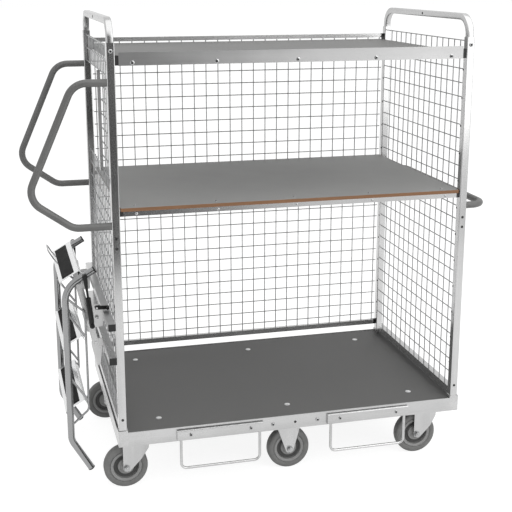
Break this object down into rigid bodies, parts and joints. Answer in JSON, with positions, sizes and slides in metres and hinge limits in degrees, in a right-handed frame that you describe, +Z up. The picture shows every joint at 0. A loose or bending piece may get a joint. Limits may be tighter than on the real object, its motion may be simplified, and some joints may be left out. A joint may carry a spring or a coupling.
{
  "type": "order picking trolley",
  "caption": "Mesh-sided order picking trolley with deck, shelves, push handles, hanging stirrups, castors and a spring-lifted step ladder that swings down at one end.",
  "frame": {"origin": "on the floor under the middle of the length over handles and push bar, on the centre line", "axes": "+X along the trolley to the push bar end, -Y the open loading front, +Z up from the floor"},
  "size_m": [1.6504, 0.838, 1.6798],
  "materials": {
    "zinc_steel": "bright zinc plating, slightly streaked",
    "grey_tube": "dark grey powder coat",
    "deck_laminate": "dark grey laminated board",
    "shelf_laminate": "mid-grey laminated board with brown ply edges",
    "black_plastic": "moulded black plastic",
    "grey_rubber": "grey non-marking rubber on a grey hub",
    "bare_aluminium": "bare aluminium",
    "black_rubber": "black grip matting",
    "black_metal": "black coated steel"
  },
  "bodies": {
    "frame": {"back_rails": "zinc_steel", "base_end_left": "zinc_steel", "base_end_right": "zinc_steel", "bearer_left": "zinc_steel", "bearer_middle": "zinc_steel", "bearer_right": "zinc_steel", "castor_plates": "zinc_steel", "deck_board": "deck_laminate", "end_bar_left": "zinc_steel", "end_bar_right": "zinc_steel", "fork_front_middle": "zinc_steel", "fork_rear_middle": "zinc_steel", "handle_front": "grey_tube", "handle_rear": "grey_tube", "hoop_left": "zinc_steel", "hoop_right": "zinc_steel", "ladder_brackets": "zinc_steel", "ladder_tube_caps": "black_plastic", "ladder_tube_lower": "zinc_steel", "ladder_tube_upper": "zinc_steel", "mesh_back": "zinc_steel", "mesh_left": "zinc_steel", "mesh_right": "zinc_steel", "post_front_left": "zinc_steel", "post_front_right": "zinc_steel", "post_rear_left": "zinc_steel", "post_rear_right": "zinc_steel", "push_bar": "grey_tube", "rail_front": "zinc_steel", "rail_rear": "zinc_steel", "shelf_middle_board": "shelf_laminate", "shelf_middle_frame": "zinc_steel", "shelf_top_board": "deck_laminate", "shelf_top_frame": "zinc_steel", "spacers": "black_plastic", "stirrups_front": "zinc_steel", "stirrups_rear": "zinc_steel", "window_bar": "zinc_steel"},
    "castor_front_left": {"fork_front_left": "zinc_steel"},
    "castor_front_right": {"fork_front_right": "zinc_steel"},
    "wheel_front_left_body": {"wheel_front_left": "grey_rubber"},
    "wheel_front_middle_body": {"wheel_front_middle": "grey_rubber"},
    "wheel_front_right_body": {"wheel_front_right": "grey_rubber"},
    "castor_rear_left": {"fork_rear_left": "zinc_steel"},
    "castor_rear_right": {"fork_rear_right": "zinc_steel"},
    "wheel_rear_left_body": {"wheel_rear_left": "grey_rubber"},
    "wheel_rear_middle_body": {"wheel_rear_middle": "grey_rubber"},
    "wheel_rear_right_body": {"wheel_rear_right": "grey_rubber"},
    "link_pair": {"swing_links": "zinc_steel"},
    "ladder": {"stile_front": "bare_aluminium", "stile_rear": "bare_aluminium", "stile_caps": "black_plastic", "tread_top": "bare_aluminium", "tread_middle": "bare_aluminium", "tread_low": "bare_aluminium", "tread_pads": "black_rubber", "ladder_braces": "zinc_steel"},
    "strut_cases": {"strut_cylinders": "black_metal"},
    "strut_plungers": {"strut_rods": "black_metal"},
    "lever": {"latch_lever": "black_metal"}
  },
  "joints": [
    {"name": "swivel_front_left", "type": "hinge", "parent": "frame", "child": "castor_front_left", "pos_m": [-0.4745, -0.309, 0.18], "axis": [0, 0, 1], "continuous": true},
    {"name": "spin_front_left", "type": "hinge", "parent": "castor_front_left", "child": "wheel_front_left_body", "pos_m": [-0.5245, -0.309, 0.08], "axis": [0, 1, 0], "continuous": true},
    {"name": "swivel_front_right", "type": "hinge", "parent": "frame", "child": "castor_front_right", "pos_m": [0.6535, -0.309, 0.18], "axis": [0, 0, 1], "continuous": true},
    {"name": "spin_front_right", "type": "hinge", "parent": "castor_front_right", "child": "wheel_front_right_body", "pos_m": [0.6035, -0.309, 0.08], "axis": [0, 1, 0], "continuous": true},
    {"name": "spin_front_middle", "type": "hinge", "parent": "frame", "child": "wheel_front_middle_body", "pos_m": [0.0895, -0.309, 0.08], "axis": [0, 1, 0], "continuous": true},
    {"name": "swivel_rear_left", "type": "hinge", "parent": "frame", "child": "castor_rear_left", "pos_m": [-0.4745, 0.309, 0.18], "axis": [0, 0, 1], "continuous": true},
    {"name": "spin_rear_left", "type": "hinge", "parent": "castor_rear_left", "child": "wheel_rear_left_body", "pos_m": [-0.5245, 0.309, 0.08], "axis": [0, 1, 0], "continuous": true},
    {"name": "swivel_rear_right", "type": "hinge", "parent": "frame", "child": "castor_rear_right", "pos_m": [0.6535, 0.309, 0.18], "axis": [0, 0, 1], "continuous": true},
    {"name": "spin_rear_right", "type": "hinge", "parent": "castor_rear_right", "child": "wheel_rear_right_body", "pos_m": [0.6035, 0.309, 0.08], "axis": [0, 1, 0], "continuous": true},
    {"name": "spin_rear_middle", "type": "hinge", "parent": "frame", "child": "wheel_rear_middle_body", "pos_m": [0.0895, 0.309, 0.08], "axis": [0, 1, 0], "continuous": true},
    {"name": "link_swing", "type": "hinge", "parent": "frame", "child": "link_pair", "pos_m": [-0.6045, 0, 0.517], "axis": [0, -1, 0], "range_deg": [0, 49.5], "stiffness_Nm_per_rad": 5, "springref_deg": -45.84},
    {"name": "ladder_turn", "type": "hinge", "parent": "link_pair", "child": "ladder", "pos_m": [-0.6585, 0, 0.757], "axis": [0, 1, 0], "range_deg": [0, 79.6]},
    {"name": "strut_swing", "type": "hinge", "parent": "frame", "child": "strut_cases", "pos_m": [-0.6195, 0, 0.601], "axis": [0, -1, 0], "range_deg": [0, 68.5]},
    {"name": "strut_stroke", "type": "slide", "parent": "strut_cases", "child": "strut_plungers", "axis": [-0.1027, 0, 0.9947], "range_m": [-0.0146, 0]},
    {"name": "latch_lift", "type": "hinge", "parent": "frame", "child": "lever", "pos_m": [-0.6005, -0.24, 0.663], "axis": [0, -1, 0], "range_deg": [0, 35]}
  ],
  "couplings": [
    {"joint": "ladder_turn", "follows": "link_swing", "ratio": 1.6051},
    {"joint": "strut_swing", "follows": "link_swing", "ratio": 1.3802},
    {"joint": "strut_stroke", "follows": "link_swing", "m_per_rad": -0.01676}
  ]
}
